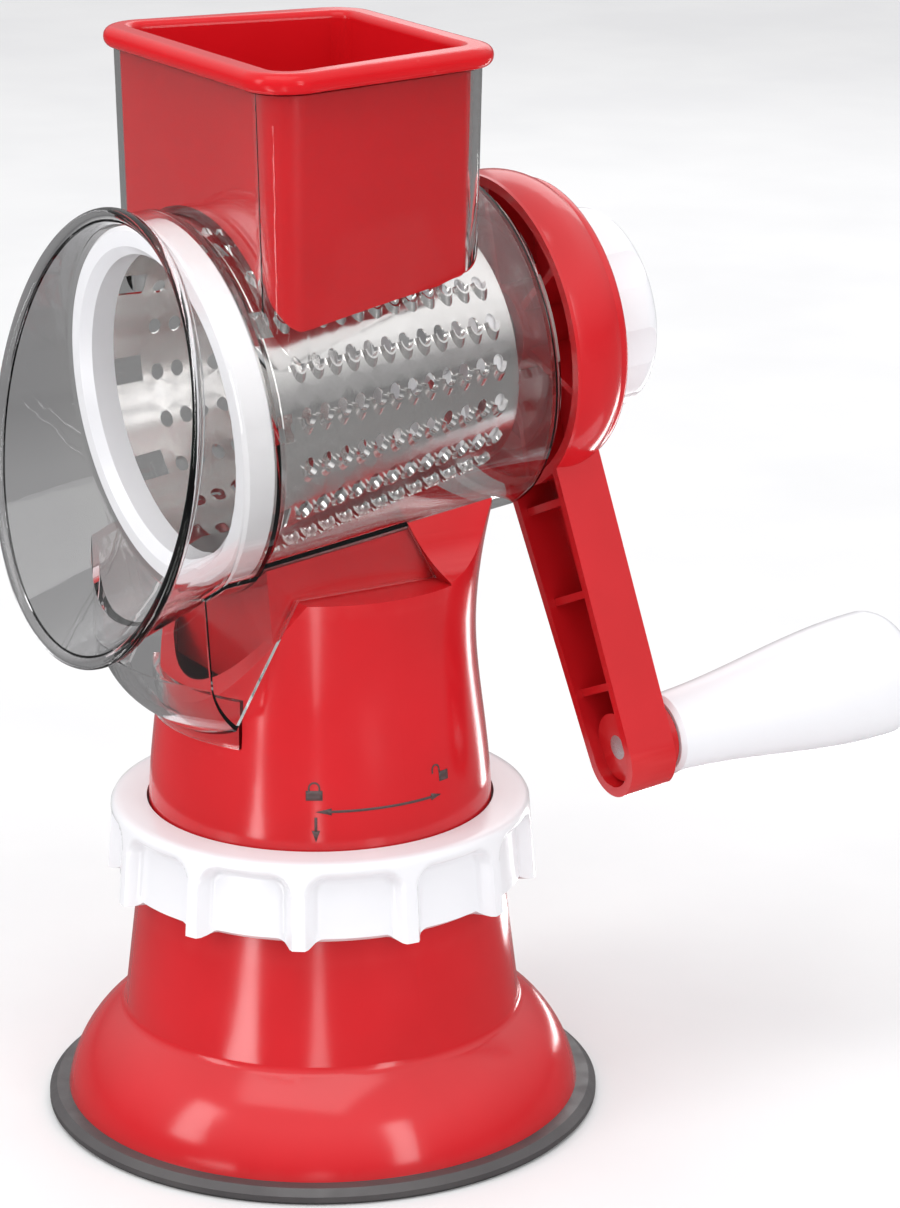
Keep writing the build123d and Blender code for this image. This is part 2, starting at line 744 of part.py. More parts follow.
def drum_sheet():
    front = drum_front_radius
    back = drum_back_radius
    sheet = turned_on_y((front - sheet_thickness, drum_front), (front, drum_front), (back, drum_back),
                        (back - sheet_thickness, drum_back))
    sheet += all_teeth(tongue)
    slot = on_sheet(tab_slot_station) * Box(tab_slot_width, tab_slot_length, 4 * sheet_thickness)
    slots = [turned_angle(tab_slot_phase + 360.0 * step / tab_slots) * slot for step in range(tab_slots)]
    return on_drum_axis(sheet - all_teeth(tooth_hole) - slots)


def drum_front_ring():
    groove = drum_radius(drum_front) + seat_gap
    ring = turned_on_y(
        (front_ring_mouth + front_ring_lip, front_ring_front), (front_ring_radius - 1, front_ring_front),
        (front_ring_radius, front_ring_front + 1), (front_ring_radius, front_ring_back - 0.6),
        (front_ring_radius - 0.6, front_ring_back), (groove, front_ring_back),
        (groove, drum_front - 0.3), (front_ring_mouth + 2.0, drum_front - 0.3),
        (front_ring_mouth + 2.0, front_ring_back), (front_ring_mouth, front_ring_back),
        (front_ring_mouth, front_ring_front + front_ring_lip))
    return on_drum_axis(ring)


def drum_rear_hub():
    seat = sheet_thickness + 0.2
    front = drum_back - hub_disc_thickness
    low = front - hub_rim_depth
    hub = turned_on_y(
        (drum_radius(front) - seat - hub_rim, low), (drum_radius(low) - seat, low),
        (drum_radius(drum_back) - seat, drum_back), (drum_radius(drum_back) - seat - hub_rim, drum_back))
    half = hub_spoke_width / 2
    spoke = spanning_box((0, drum_radius(front) - seat - hub_rim / 2), (front, drum_back), (-half, half))
    hub += around_y(spoke, hub_spokes)
    hub += cylinder_on_y(shaft_radius + hub_rim, shaft_front + 1, bush_front - moving_gap)
    hub -= cylinder_on_y(shaft_radius + 0.02, low, bush_front)
    return on_drum_axis(hub)


def drive_shaft():
    half = shaft_square / 2
    shaft = cylinder_on_y(shaft_radius, shaft_front, shaft_shoulder)
    shaft += spanning_box((-half, half), (shaft_shoulder, shaft_back), (-half, half))
    shaft -= cylinder_on_y(stud_radius + moving_gap / 2, shaft_shoulder - 5, shaft_back + 1)
    shaft -= cylinder_on_y(lug_cavity_radius, shaft_shoulder - 9, shaft_shoulder - 4)
    slot = spanning_box((-lug_cavity_radius, lug_cavity_radius), (shaft_shoulder - 5, shaft_back + 1),
                        (-lug_radius - 0.2, lug_radius + 0.2))
    return on_drum_axis(shaft - slot)


# ------------------------------------------------------------------ crank and knob
def in_arm_frame(shape):
    """Turns a shape drawn with its arm pointing to local -Z to the photographed angle."""
    return Rot(0, -crank_angle, 0) * shape


def arm_solid(inset, front, back):
    """Tapered arm with a round end, drawn pointing to local -Z."""
    end = arm_end_radius - inset
    root = arm_root_half_width - inset
    low = -arm_end_center
    outline = [Line((-root, -arm_root), (root, -arm_root)), Line((root, -arm_root), (end, low)),
               ThreePointArc((end, low), (0, low - end), (-end, low)),
               Line((-end, low), (-root, -arm_root))]
    face = Plane(origin=(0, back, 0), x_dir=(1, 0, 0), z_dir=(0, -1, 0)) * make_face(Curve() + outline)
    return extrude(face, back - front)


def dish(inset):
    """Shallow dish, domed round its side, open towards the housing."""
    front = dish_front - (1 if inset else 0)
    back = dish_back - inset
    side = ThreePointArc(
        (dish_shoulder - inset, dish_front + 1), (dish_shoulder - 1.0 - inset, (dish_front + dish_back) / 2 + 2),
        (dish_back_radius - inset, back - dish_round))
    corner = ThreePointArc(
        side @ 1, (dish_back_radius - inset - dish_round * 0.34, back - dish_round * 0.26),
        (dish_back_radius - inset - dish_round, back))
    outline = [Line((0, front), (dish_shoulder - inset, front)),
               Line((dish_shoulder - inset, front), side @ 0), side, corner,
               Line(corner @ 1, (0, back)), Line((0, back), (0, front))]
    return turned_on_y(*outline)


def crank():
    body = dish(0) + in_arm_frame(arm_solid(0, arm_front, arm_back))
    body -= dish(crank_wall)
    hollow = arm_solid(crank_wall, arm_front - 1, arm_back - crank_wall)
    body -= in_arm_frame(hollow) - cylinder_on_y(dish_shoulder, arm_front - 2, dish_back)
    rib = spanning_box((-arm_root_half_width, arm_root_half_width), (arm_front + 2, arm_back - 1),
                       (-arm_rib_wall / 2, arm_rib_wall / 2))
    for step in range(arm_ribs):
        place = Pos(0, 0, -dish_shoulder - arm_rib_offset - step * arm_rib_pitch) * rib
        body += in_arm_frame(place & arm_solid(1.0, arm_front, arm_back))
    body += cylinder_on_y(hub_radius, dish_front + hub_setback, dish_back - 1)
    spoke = spanning_box((hub_radius - 2, dish_shoulder), (dish_front + rib_setback, dish_back - 1),
                         (-arm_rib_wall / 2, arm_rib_wall / 2))
    body += around_y(spoke & dish(crank_wall / 2), dish_ribs, dish_rib_phase)
    boss = Pos(0, 0, -crank_radius) * cylinder_on_y(boss_radius, arm_front + boss_setback, arm_back + boss_height)
    body += in_arm_frame(boss)
    body -= socket()
    pin_hole = Pos(0, 0, -crank_radius) * cylinder_on_y(grip_pin_radius + 0.02, arm_front, grip_front)
    body -= in_arm_frame(pin_hole)
    return on_drum_axis(body)


def socket():
    """Square socket for the drive shaft, and the hole for the knob's stud."""
    half = shaft_square / 2 + 0.1
    square = spanning_box((-half, half), (dish_front, shaft_back + 0.3), (-half, half))
    square += cylinder_on_y(shaft_radius + moving_gap, dish_front - 1, shaft_shoulder + 0.3)
    return square + cylinder_on_y(stud_radius + moving_gap, shaft_back, dish_back + 1)


def clamp_knob():
    front = dish_back + moving_gap
    body = cylinder_on_y(knob_radius, front, knob_back)
    far_rim = [e for e in body.edges().filter_by(GeomType.CIRCLE) if e.center().Y > knob_back - 1]
    body = fillet(far_rim, knob_round)
    flute_place = knob_radius + knob_flute_radius - knob_flute_depth
    flute = Pos(flute_place, 0, 0) * cylinder_on_y(knob_flute_radius, front + 3, knob_back + 1)
    body -= around_y(flute, knob_flutes, knob_flute_phase)
    body -= cylinder_on_y(knob_radius - knob_wall - knob_flute_depth, front - 1, knob_back - knob_wall)
    body += cylinder_on_y(stud_radius + 3.5, front, knob_back - 1)
    body -= cylinder_on_y(stud_radius + 0.02, front - 1, knob_back - 5)
    return on_drum_axis(body)


def knob_stud():
    stud = cylinder_on_y(stud_radius, shaft_shoulder - 7.6, knob_back - 5.2)
    lug = Pos(0, shaft_shoulder - 6.0, 0) * Cylinder(lug_radius, lug_length)
    return on_drum_axis(stud + lug)


# ------------------------------------------------------------------ grip
def on_grip_axis(shape):
    return on_drum_axis(in_arm_frame(Pos(0, 0, -crank_radius) * shape))


def grip():
    back = grip_front + grip_length
    side = Spline((grip_root_radius, grip_front + 1.2), (grip_root_radius + 1.9, grip_front + 0.3 * grip_length),
                  (grip_end_radius - 0.6, back - 0.3 * grip_length), (grip_end_radius, back - 0.1 * grip_length))
    end = ThreePointArc(side @ 1, (grip_end_radius - 3.4, back - 1.7), (grip_cap_radius + 1.5, back))
    outline = [Line((0, grip_front), (grip_root_radius - 1, grip_front)),
               Line((grip_root_radius - 1, grip_front), side @ 0), side, end,
               Line(end @ 1, (0, back)), Line((0, back), (0, grip_front))]
    body = revolve(make_face(Curve() + outline), Axis.Y)
    bore = grip_pin_radius + running_gap
    body -= cylinder_on_y(bore, grip_front - 1, grip_front + grip_pin_reach)
    body -= cylinder_on_y(grip_washer_radius + moving_gap, grip_front + grip_pin_reach - 4, back + 1)
    return on_grip_axis(body)


def grip_pin():
    washer_front = grip_front + grip_pin_reach - 4 + moving_gap
    head_front = washer_front + grip_washer_thickness + 0.1
    pin = cylinder_on_y(grip_pin_radius, arm_front + boss_setback, head_front)
    pin += cylinder_on_y(grip_pin_radius + 1.8, head_front, head_front + 2.4)
    return on_grip_axis(pin)


def grip_washer():
    front = grip_front + grip_pin_reach - 4 + moving_gap
    washer = cylinder_on_y(grip_washer_radius, front, front + grip_washer_thickness)
    return on_grip_axis(washer - cylinder_on_y(grip_pin_radius + 0.1, front - 1, front + 4))


def grip_cap():
    back = grip_front + grip_length
    cap = cylinder_on_y(grip_washer_radius + moving_gap - 0.05, back - 0.2 - grip_cap_thickness, back - 0.2)
    return on_grip_axis(cap)


# ------------------------------------------------------------------ the assembly
NODES = {
    "suction_pad": suction_pad, "lift_stem": lift_stem, "cross_pin": cross_pin,
    "spring_washer": spring_washer, "return_spring": return_spring,
    "base_housing": base_housing, "lock_ring": lock_ring, "column": column,
    "column_screws": column_screws, "clear_housing": clear_housing, "crank_bush": crank_bush,
    "pusher": pusher, "drum_sheet": drum_sheet, "drum_front_ring": drum_front_ring,
    "drum_rear_hub": drum_rear_hub, "drive_shaft": drive_shaft, "crank": crank,
    "clamp_knob": clamp_knob, "knob_stud": knob_stud, "grip": grip, "grip_pin": grip_pin,
    "grip_washer": grip_washer, "grip_cap": grip_cap,
}

os.makedirs("parts", exist_ok=True)
for node, make in NODES.items():
    export_step(make(), f"parts/{node}.step", write_pcurves=False)
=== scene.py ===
"""Looks of the hand-cranked drum shredder: every visible piece and finish, in metres.

The pieces stand in the order in which the shredder is put together, from the camera and the
table it stands on up to the grip of its crank.
"""
from math import atan2, cos, pi, radians, sin, sqrt

import bmesh
import bpy
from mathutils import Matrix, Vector


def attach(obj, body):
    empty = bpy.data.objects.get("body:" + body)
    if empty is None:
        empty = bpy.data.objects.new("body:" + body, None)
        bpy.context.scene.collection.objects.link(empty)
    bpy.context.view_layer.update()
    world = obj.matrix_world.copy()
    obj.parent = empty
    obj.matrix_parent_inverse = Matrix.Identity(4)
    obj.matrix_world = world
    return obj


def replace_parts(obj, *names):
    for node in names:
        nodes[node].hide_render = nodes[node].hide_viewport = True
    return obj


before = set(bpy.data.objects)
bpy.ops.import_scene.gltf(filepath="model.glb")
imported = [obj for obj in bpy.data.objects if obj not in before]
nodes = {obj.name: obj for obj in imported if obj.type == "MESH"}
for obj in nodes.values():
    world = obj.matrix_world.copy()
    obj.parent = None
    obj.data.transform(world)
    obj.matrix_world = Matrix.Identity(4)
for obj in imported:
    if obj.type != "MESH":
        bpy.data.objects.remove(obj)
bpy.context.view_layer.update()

# ---------------------------------------------------------------- camera
# The shredder is seen from its right front, a little from above, with a long lens from about
# a metre away, as a product photographer would take it.
view_azimuth = radians(59.0)
view_elevation = radians(17.5)
look_at = Vector((0.01738, 0.02892, 0.13464))
camera_distance = 1.0277
lens_data = bpy.data.cameras.new("camera")
lens_data.lens = 119.41
lens_data.sensor_width = 36.0
lens_data.clip_end = 20.0
camera = bpy.data.objects.new("camera", lens_data)
bpy.context.scene.collection.objects.link(camera)
towards_camera = Vector((sin(view_azimuth) * cos(view_elevation),
                         -cos(view_azimuth) * cos(view_elevation), sin(view_elevation)))
camera.location = look_at + camera_distance * towards_camera
camera.rotation_mode = "QUATERNION"
camera.rotation_quaternion = (-towards_camera).to_track_quat("-Z", "Y")
bpy.context.scene.camera = camera


# ---------------------------------------------------------------- table and light
# A pale, matt tabletop in a white studio, lit by four large soft lamps: above, to the left and
# right of the camera, and a weaker one behind. Three strips add streaks to glossy sides.
def new_material(name):
    """A material with an empty node tree but for its Principled shader and its output."""
    material = bpy.data.materials.new(name)
    material.use_nodes = True
    tree = material.node_tree
    return material, tree, tree.nodes["Principled BSDF"]


def noise(tree, scale, detail=3.0, stretch=(1, 1, 1)):
    """Noise in the piece's own space; scale counts its waves per metre."""
    place = tree.nodes.new("ShaderNodeTexCoord")
    mapping = tree.nodes.new("ShaderNodeMapping")
    mapping.inputs["Scale"].default_value = stretch
    texture = tree.nodes.new("ShaderNodeTexNoise")
    texture.inputs["Scale"].default_value = scale
    texture.inputs["Detail"].default_value = detail
    tree.links.new(place.outputs["Object"], mapping.inputs["Vector"])
    tree.links.new(mapping.outputs["Vector"], texture.inputs["Vector"])
    return texture.outputs["Fac"]


def spread(tree, value, low, high, from_low=0.35, from_high=0.65):
    """Maps a noise value onto a range of roughness, height or share."""
    ramp = tree.nodes.new("ShaderNodeMapRange")
    ramp.inputs["From Min"].default_value = from_low
    ramp.inputs["From Max"].default_value = from_high
    ramp.inputs["To Min"].default_value = low
    ramp.inputs["To Max"].default_value = high
    tree.links.new(value, ramp.inputs["Value"])
    return ramp.outputs["Result"]


def blended(tree, share, first, second):
    """A colour between two, by share."""
    mix = tree.nodes.new("ShaderNodeMix")
    mix.data_type = "RGBA"
    for socket, colour in ((mix.inputs[6], first), (mix.inputs[7], second)):
        if isinstance(colour, tuple):
            socket.default_value = (*colour, 1.0)
        else:
            tree.links.new(colour, socket)
    tree.links.new(share, mix.inputs[0])
    return mix.outputs[2]


def bumped(tree, height, strength, distance):
    bump = tree.nodes.new("ShaderNodeBump")
    bump.inputs["Strength"].default_value = strength
    bump.inputs["Distance"].default_value = distance
    tree.links.new(height, bump.inputs["Height"])
    return bump.outputs["Normal"]


def tabletop():
    """Pale in view, but dark in reflections, so that glossy sides keep their full colour."""
    material, tree, shader = new_material("pale_table")
    shade = spread(tree, noise(tree, 9.0), 0.0, 1.0)
    surface = blended(tree, shade, (0.86, 0.86, 0.865), (0.90, 0.90, 0.90))
    tree.links.new(surface, shader.inputs["Base Color"])
    shader.inputs["Roughness"].default_value = 0.7
    shader.inputs["Specular IOR Level"].default_value = 0.2
    mirrored = tree.nodes.new("ShaderNodeBsdfDiffuse")
    mirrored.inputs["Color"].default_value = (0.22, 0.22, 0.22, 1.0)
    path = tree.nodes.new("ShaderNodeLightPath")
    mix = tree.nodes.new("ShaderNodeMixShader")
    tree.links.new(path.outputs["Is Glossy Ray"], mix.inputs[0])
    tree.links.new(shader.outputs["BSDF"], mix.inputs[1])
    tree.links.new(mirrored.outputs["BSDF"], mix.inputs[2])
    tree.links.new(mix.outputs["Shader"], tree.nodes["Material Output"].inputs["Surface"])
    mesh = bpy.data.meshes.new("table")
    shape = bmesh.new()
    bmesh.ops.create_grid(shape, x_segments=1, y_segments=1, size=3.0)
    shape.to_mesh(mesh)
    table = bpy.data.objects.new("table", mesh)
    bpy.context.scene.collection.objects.link(table)
    mesh.materials.append(material)


def soft_lamp(name, place, aim, size, power):
    data = bpy.data.lights.new(name, "AREA")
    data.shape = "RECTANGLE"
    data.size, data.size_y = size
    data.energy = power
    lamp = bpy.data.objects.new(name, data)
    bpy.context.scene.collection.objects.link(lamp)
    lamp.location = place
    lamp.rotation_mode = "QUATERNION"
    lamp.rotation_quaternion = (Vector(aim) - Vector(place)).to_track_quat("-Z", "Y")


def reflector(name, azimuth, near, far, width, power):
    """A bright strip on the table, out to one side, that shows only as a streak in glossy sides."""
    middle = (near + far) / 2
    data = bpy.data.lights.new(name, "AREA")
    data.shape = "RECTANGLE"
    data.size, data.size_y = far - near, width
    data.energy = power
    strip = bpy.data.objects.new(name, data)
    bpy.context.scene.collection.objects.link(strip)
    turn = radians(azimuth)
    strip.location = (middle * cos(turn), middle * sin(turn), 0.003)
    strip.rotation_euler = (pi, 0.0, turn)
    strip.visible_camera = strip.visible_diffuse = strip.visible_transmission = False


def studio_world():
    """White behind the shredder, a pale light on matt surfaces and a grey room in reflections."""
    world = bpy.data.worlds.new("studio")
    bpy.context.scene.world = world
    world.use_nodes = True
    tree = world.node_tree
    backdrop = tree.nodes["Background"]
    backdrop.inputs["Color"].default_value = (1.0, 1.0, 1.0, 1.0)
    fill = tree.nodes.new("ShaderNodeBackground")
    fill.inputs["Color"].default_value = (0.80, 0.80, 0.81, 1.0)
    room = tree.nodes.new("ShaderNodeBackground")
    direction = tree.nodes.new("ShaderNodeTexCoord")
    heights = tree.nodes.new("ShaderNodeSeparateXYZ")
    ramp = tree.nodes.new("ShaderNodeValToRGB")
    ramp.color_ramp.elements[0].position = 0.0
    ramp.color_ramp.elements[0].color = (0.16, 0.16, 0.165, 1.0)
    ramp.color_ramp.elements[1].position = 0.6
    ramp.color_ramp.elements[1].color = (1.2, 1.2, 1.21, 1.0)
    tree.links.new(direction.outputs["Generated"], heights.inputs["Vector"])
    tree.links.new(heights.outputs["Z"], ramp.inputs["Fac"])
    tree.links.new(ramp.outputs["Color"], room.inputs["Color"])
    path = tree.nodes.new("ShaderNodeLightPath")
    matt = tree.nodes.new("ShaderNodeMixShader")
    tree.links.new(path.outputs["Diffuse Depth"], matt.inputs[0])
    tree.links.new(room.outputs["Background"], matt.inputs[1])
    tree.links.new(fill.outputs["Background"], matt.inputs[2])
    choice = tree.nodes.new("ShaderNodeMixShader")
    tree.links.new(path.outputs["Is Camera Ray"], choice.inputs[0])
    tree.links.new(matt.outputs["Shader"], choice.inputs[1])
    tree.links.new(backdrop.outputs["Background"], choice.inputs[2])
    tree.links.new(choice.outputs["Shader"], tree.nodes["World Output"].inputs["Surface"])


tabletop()
studio_world()
bpy.context.scene.view_settings.view_transform = "Standard"
soft_lamp("lamp_above", (0.25, -0.3, 1.3), (0, 0, 0.1), (1.0, 0.9), 5.0)
soft_lamp("lamp_left", (-0.05, -1.3, 0.65), (0, 0, 0.14), (0.35, 0.8), 4.0)
soft_lamp("lamp_right", (1.35, 0.15, 0.5), (0, 0, 0.14), (0.25, 0.9), 3.5)
reflector("strip_front", -69.0, 0.15, 1.2, 0.05, 1.2)
reflector("strip_side", 107.0, 0.15, 1.2, 0.05, 1.2)
reflector("strip_near", -31.0, 0.15, 0.8, 0.03, 0.25)
soft_lamp("lamp_behind", (-0.9, 0.9, 0.8), (0, 0, 0.1), (0.8, 0.8), 2.0)


# ---------------------------------------------------------------- suction pad
# A disc of dark, slightly dusty rubber, moulded in one piece. Its thin rim shows outside the bell
# and grips the table when the middle is pulled up.
def dress(name, finish):
    """Gives a piece of the frame its finish."""
    for material_slot in nodes[name].material_slots:
        material_slot.material = finish


def rubber():
    material, tree, shader = new_material("pad_rubber")
    dust = spread(tree, noise(tree, 40.0, 6.0), 0.0, 1.0, 0.4, 0.75)
    surface = blended(tree, dust, (0.060, 0.055, 0.057), (0.085, 0.08, 0.08))
    tree.links.new(surface, shader.inputs["Base Color"])
    tree.links.new(spread(tree, noise(tree, 150.0, 4.0), 0.32, 0.5), shader.inputs["Roughness"])
    tree.links.new(bumped(tree, noise(tree, 1500.0, 3.0), 0.15, 0.0002), shader.inputs["Normal"])
    return material


dress("suction_pad", rubber())


# ---------------------------------------------------------------- base housing
# The bell and cone of glossy red plastic, moulded in one piece. It stands on the pad and holds
# the lifting stem in its middle.
def moulded_plastic(name, colour, shade, roughness, worn, grain=0.03):
    """Glossy moulded plastic: faint flow marks, a fine grain, and slightly paler rubbed edges."""
    material, tree, shader = new_material(name)
    flow = spread(tree, noise(tree, 22.0, 4.0), 0.0, 1.0)
    body = blended(tree, flow, shade, colour)
    edge = tree.nodes.new("ShaderNodeNewGeometry").outputs["Pointiness"]
    rubbed = spread(tree, edge, 0.0, 0.35, 0.53, 0.62)
    tree.links.new(blended(tree, rubbed, body, worn), shader.inputs["Base Color"])
    patches = spread(tree, noise(tree, 60.0, 5.0), roughness * 0.9, roughness * 1.15)
    tree.links.new(patches, shader.inputs["Roughness"])
    tree.links.new(bumped(tree, noise(tree, 2600.0, 2.0), grain, 0.0001), shader.inputs["Normal"])
    shader.inputs["IOR"].default_value = 1.5
    return material


red = moulded_plastic("red_plastic", (0.62, 0.012, 0.018), (0.55, 0.010, 0.014), 0.16,
                      (0.68, 0.06, 0.06))
dress("base_housing", red)


# ---------------------------------------------------------------- lifting stem
# Hidden in the base: a stem of pale plastic with a steel pin through its head, and the steel
# washer and spring that push it back down.
def worked_steel(name, colour, roughness, stretch):
    """Bright steel with fine drawing lines along one direction."""
    material, tree, shader = new_material(name)
    shader.inputs["Metallic"].default_value = 1.0
    lines = noise(tree, 800.0, 4.0, stretch)
    tint = spread(tree, noise(tree, 30.0, 3.0), 0.0, 1.0)
    darker = tuple(0.9 * c for c in colour)
    tree.links.new(blended(tree, tint, darker, colour), shader.inputs["Base Color"])
    sheen = spread(tree, lines, roughness * 0.85, roughness * 1.15)
    tree.links.new(sheen, shader.inputs["Roughness"])
    tree.links.new(bumped(tree, lines, 0.015, 0.0001), shader.inputs["Normal"])
    return material


milky = moulded_plastic("inner_plastic", (0.72, 0.72, 0.70), (0.66, 0.66, 0.64), 0.4,
                        (0.8, 0.8, 0.8))
steel = worked_steel("steel", (0.56, 0.56, 0.57), 0.3, (1, 1, 6))
dress("lift_stem", milky)
for part in ("cross_pin", "spring_washer", "return_spring"):
    dress(part, steel)


# ---------------------------------------------------------------- lock ring
# White moulded ring that turns on the base by hand. Its skirt has twelve upright ridges with
# shallow pockets between them, rounded at their upper corners under a thin flange.
mm = 0.001
white = moulded_plastic("white_plastic", (0.87, 0.87, 0.895), (0.85, 0.85, 0.88), 0.22,
                        (0.9, 0.9, 0.9))


def turned(outline, steps):
    """A shape from a closed outline of (radius, height) points in millimetres, spun about Z."""
    shape = bmesh.new()
    points = [shape.verts.new((radius * mm, 0.0, height * mm)) for radius, height in outline]
    edges = [shape.edges.new(pair) for pair in zip(points, points[1:] + points[:1])]
    bmesh.ops.spin(shape, geom=points + edges, cent=(0, 0, 0), axis=(0, 0, 1), angle=2 * pi,
                   steps=steps, use_merge=True)
    bmesh.ops.remove_doubles(shape, verts=shape.verts, dist=1e-6)
    return shape


def finished_piece(shape, name, finish, body, crease=35.0):
    """Turns a shape into a smooth-shaded piece that rides on a body."""
    bmesh.ops.recalc_face_normals(shape, faces=shape.faces)
    mesh = bpy.data.meshes.new(name)
    shape.to_mesh(mesh)
    shape.free()
    for face in mesh.polygons:
        face.use_smooth = True
    mesh.set_sharp_from_angle(angle=radians(crease))
    mesh.materials.append(finish)
    piece = bpy.data.objects.new(name, mesh)
    bpy.context.scene.collection.objects.link(piece)
    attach(piece, body)
    return piece


def eased(value):
    """Smooth step from 0 to 1."""
    value = max(0.0, min(1.0, value))
    return value * value * (3.0 - 2.0 * value)


ridge_count = 12
ridge_first = radians(-35.0)
ridge_half = 2.3              # half the width of a ridge's face
pocket_depth = 3.6
pocket_corner = 5.0
pocket_top = 80.4
ring_low, ring_high = 61.6, 84.0
ring_low_radius, ring_high_radius = 56.1, 54.4
ring_inside = 50.5            # points nearer the axis than this belong to the smooth bore
skirt_radius = 54.0           # where widths round the skirt are measured


def lock_ring_skin():
    levels = 20
    top = ring_high - 1.4
    outer = [(ring_low_radius + (ring_high_radius - ring_low_radius) * step / levels,
              ring_low + (top - ring_low) * step / levels) for step in range(levels + 1)]
    inner = [(53.9, 83.5), (53.0, 83.9), (51.5, ring_high), (45.1, ring_high), (45.1, 81.2),
             (48.8, 79.4), (48.8, ring_low + 0.6), (49.4, ring_low)]
    shape = turned(outer + inner, 432)
    pitch = 2 * pi / ridge_count
    for point in shape.verts:
        radius = point.co.xy.length / mm
        height = point.co.z / mm
        if radius < ring_inside:
            continue
        turn = (atan2(point.co.y, point.co.x) - ridge_first + pitch / 2) % pitch - pitch / 2
        across = abs(abs(turn) - pitch / 2) * skirt_radius
        half_pocket = pitch / 2 * skirt_radius - ridge_half
        out_x = max(across - (half_pocket - pocket_corner), 0.0)
        out_z = max(height - (pocket_top - pocket_corner), 0.0)
        outside = sqrt(out_x * out_x + out_z * out_z) - pocket_corner
        depth = pocket_depth * eased((0.9 - outside) / 2.6)
        if height > pocket_top:
            depth *= max(0.0, (ring_high - height) / (ring_high - pocket_top))
        foot = 1.0 - eased((height - ring_low) / 6.0)
        rise = 1.9 * (1.0 - eased((across - half_pocket + 3.6) / 3.8)) * foot
        scale = (radius - depth) / radius
        point.co.x *= scale
        point.co.y *= scale
        point.co.z += rise * mm
    return finished_piece(shape, "lock_ring_skin", white, "ring", crease=50.0)


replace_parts(lock_ring_skin(), "lock_ring")
dress("lock_ring", white)


# ---------------------------------------------------------------- column
# The waisted stand of the same red plastic, screwed to the base from below. Small dark marks are
# printed on its front: a closed and an open lock, with arrows for the ring's turn.
dress("column", red)
dress("column_screws", steel)


column_radius = 43.5          # where the marks are printed, in millimetres
ink_lift = 0.00008
ink_thickness = 0.00004


def printing_ink():
    material, tree, shader = new_material("printing_ink")
    wear = spread(tree, noise(tree, 900.0, 3.0), 0.0, 1.0, 0.35, 0.8)
    surface = blended(tree, wear, (0.060, 0.040, 0.040), (0.11, 0.05, 0.05))
    tree.links.new(surface, shader.inputs["Base Color"])
    tree.links.new(spread(tree, noise(tree, 700.0), 0.3, 0.45), shader.inputs["Roughness"])
    return material


def bar(mark, left, right, low, high):
    """A printed rectangle, in millimetres round the column and up it."""
    parts = max(1, round((right - left) / 0.7))
    grid = bmesh.ops.create_grid(mark, x_segments=parts, y_segments=2, size=0.5)["verts"]
    for point in grid:
        point.co.x = left + (point.co.x + 0.5) * (right - left)
        point.co.y = low + (point.co.y + 0.5) * (high - low)


def arrow_head(mark, tip, foot, half):
    """A printed triangle from its tip to the middle of its foot."""
    corners = bmesh.ops.create_circle(mark, segments=3, radius=1.0, cap_ends=True)["verts"]
    tip, foot = Vector(tip), Vector(foot)
    side = (foot - tip).orthogonal().normalized() * half
    for corner, place in zip(corners, (tip, foot + side, foot - side)):
        corner.co = (place.x, place.y, 0.0)


def shackle(mark, middle, foot, radius, width, legs):
    """A printed arch on two legs."""
    inner = mark.verts.new((middle + radius - width, foot, 0.0))
    outer = mark.verts.new((middle + radius, foot, 0.0))
    edge = mark.edges.new((inner, outer))
    bmesh.ops.spin(mark, geom=[inner, outer, edge], cent=(middle, foot, 0.0), axis=(0, 0, 1),
                   angle=pi, steps=12)
    for left, leg in zip((middle - radius, middle + radius - width), legs):
        bar(mark, left, left + width, foot - leg, foot)


def printed(mark, name, turn, height):
    """Wraps a flat mark round the column at an angle in degrees and a height in millimetres."""
    column_piece = nodes["column"]
    for point in mark.verts:
        angle = radians(turn) + point.co.x / column_radius
        level = (height + point.co.y) * mm
        outside = Vector((0.08 * cos(angle), 0.08 * sin(angle), level))
        hit = column_piece.ray_cast(outside, Vector((-cos(angle), -sin(angle), 0.0)))
        point.co = hit[1] + Vector((cos(angle), sin(angle), 0.0)) * ink_lift
    piece = finished_piece(mark, name, ink, "stand")
    film = piece.modifiers.new("film", "SOLIDIFY")
    film.thickness = ink_thickness
    film.offset = 0.0


ink = printing_ink()
closed_lock = bmesh.new()
bar(closed_lock, -2.1, 2.1, -1.25, 1.25)
shackle(closed_lock, 0.0, 1.9, 1.55, 0.45, (0.8, 0.8))
printed(closed_lock, "mark_closed_lock", -31.1, 98.3)
open_lock = bmesh.new()
bar(open_lock, -1.6, 1.6, -1.25, 1.25)
shackle(open_lock, -2.6, 2.1, 1.4, 0.45, (0.9, 1.2))
printed(open_lock, "mark_open_lock", 16.6, 98.7)
turn_arrow = bmesh.new()
bar(turn_arrow, 3.0, 31.5, -0.32, 0.32)
arrow_head(turn_arrow, (0.0, 0.0, 0.0), (4.0, 0.0, 0.0), 1.3)
arrow_head(turn_arrow, (34.6, 0.0, 0.0), (31.2, 0.0, 0.0), 1.3)
printed(turn_arrow, "mark_turn_arrow", -30.7, 94.1)
down_arrow = bmesh.new()
bar(down_arrow, -0.35, 0.35, -3.6, 0.0)
arrow_head(down_arrow, (0.0, -6.4, 0.0), (0.0, -3.4, 0.0), 1.45)
printed(down_arrow, "mark_down_arrow", -30.6, 92.7)


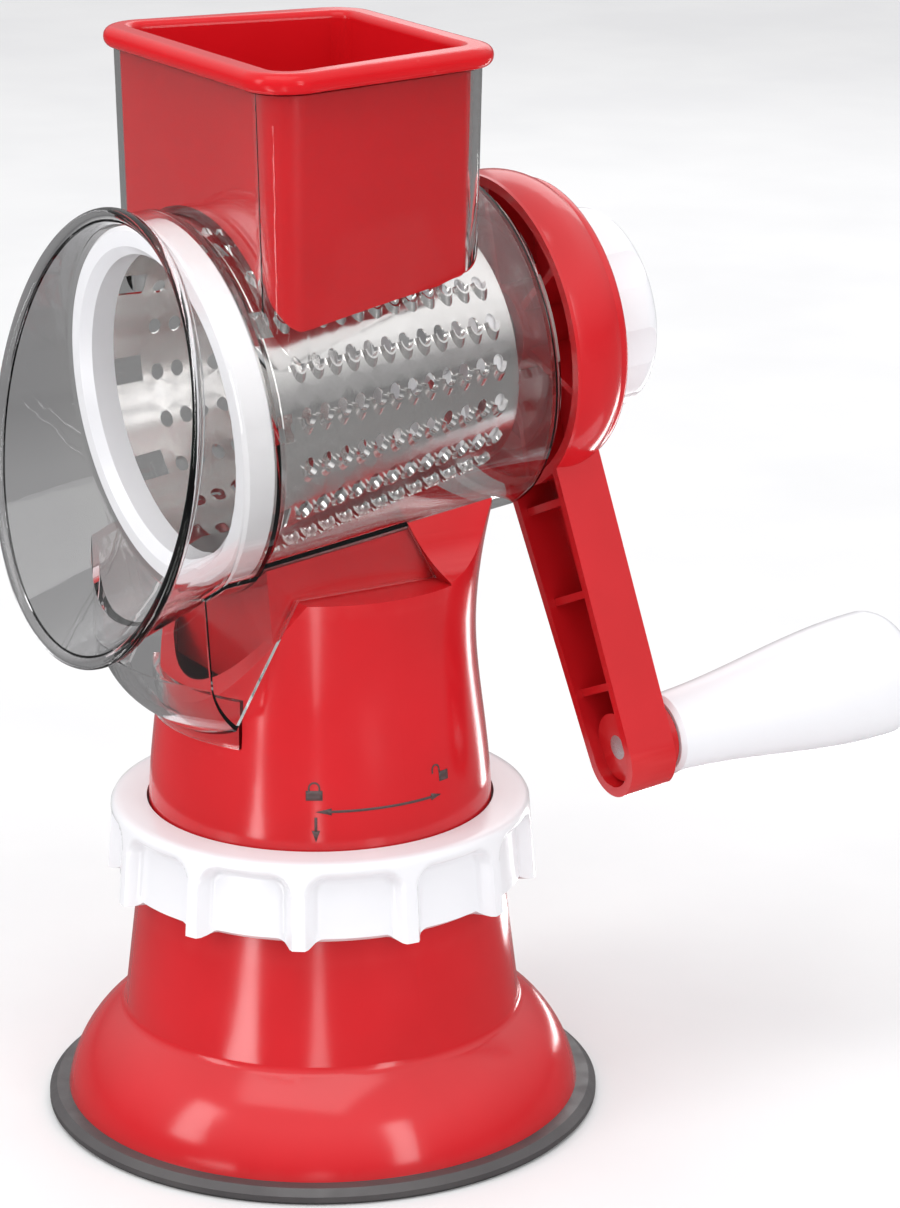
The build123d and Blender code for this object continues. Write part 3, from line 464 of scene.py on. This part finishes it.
# ---------------------------------------------------------------- clear housing
# One clear, faintly smoky moulding: the barrel round the drum with its flared outlet, the feed
# chute above it and the foot that clips over the column. A pale bush in its back takes the shaft.
def clear_plastic():
    """Clear, faintly smoky moulded plastic that lets light in to the drum; its flared mouth is
    coloured greyer as painted shade.
    """
    material, tree, shader = new_material("clear_plastic")
    place = tree.nodes.new("ShaderNodeTexCoord")
    parts = tree.nodes.new("ShaderNodeSeparateXYZ")
    tree.links.new(place.outputs["Object"], parts.inputs["Vector"])
    # The faint smoky colour all over is the plastic's own. The greyer colour in front of Y = -46
    # mm, full from -54 mm, is painted shade on the flared outlet.
    outlet_painted_shade = spread(tree, parts.outputs["Y"], 1.0, 0.0, -0.054, -0.046)
    tint = blended(tree, outlet_painted_shade, (0.955, 0.95, 0.945), (0.92, 0.915, 0.92))
    tree.links.new(tint, shader.inputs["Base Color"])
    shader.inputs["Transmission Weight"].default_value = 1.0
    shader.inputs["IOR"].default_value = 1.45
    tree.links.new(spread(tree, noise(tree, 45.0, 4.0), 0.0, 0.006), shader.inputs["Roughness"])
    tree.links.new(bumped(tree, noise(tree, 25.0, 0.0), 0.01, 0.0004), shader.inputs["Normal"])
    let_through = tree.nodes.new("ShaderNodeBsdfTransparent")
    let_through.inputs["Color"].default_value = (0.95, 0.945, 0.94, 1.0)
    path = tree.nodes.new("ShaderNodeLightPath")
    mix = tree.nodes.new("ShaderNodeMixShader")
    tree.links.new(path.outputs["Is Shadow Ray"], mix.inputs[0])
    tree.links.new(shader.outputs["BSDF"], mix.inputs[1])
    tree.links.new(let_through.outputs["BSDF"], mix.inputs[2])
    tree.links.new(mix.outputs["Shader"], tree.nodes["Material Output"].inputs["Surface"])
    return material


dress("clear_housing", clear_plastic())
dress("crank_bush", milky)


# ---------------------------------------------------------------- pusher
# A hollow box of red plastic with a rolled rim, which slides down inside the chute. Its sides are
# smoother and less shiny than the base, so that they keep a full red behind the clear walls.
pusher_red = moulded_plastic("pusher_red", (0.66, 0.008, 0.014), (0.60, 0.007, 0.011), 0.16,
                             (0.68, 0.06, 0.06), grain=0.003)
pusher_red.node_tree.nodes["Principled BSDF"].inputs["Specular IOR Level"].default_value = 0.25
dress("pusher", pusher_red)


# ---------------------------------------------------------------- drum
# The cutting drum: a cone of thin bright steel, punched so that each tooth is an oval hole with a
# raised tongue below it. White plastic rings carry it at the mouth and on the steel drive shaft.
drum_steel = worked_steel("drum_steel", (0.90, 0.89, 0.88), 0.2, (1, 8, 1))
dress("drum_sheet", drum_steel)
dress("drum_front_ring", white)
dress("drum_rear_hub", white)
dress("drive_shaft", steel)


# ---------------------------------------------------------------- crank
# A dish and an open, ribbed arm of red plastic in one moulding, held on the square end of the
# shaft by the white knob, which locks with a quarter turn of its steel stud.
dress("crank", red)
dress("clamp_knob", white)
dress("knob_stud", steel)


# ---------------------------------------------------------------- grip
# The white handle turns on a riveted steel pin in the crank's end; a washer and a small cap close
# its far end.
dress("grip", white)
dress("grip_cap", white)
dress("grip_pin", steel)
dress("grip_washer", steel)
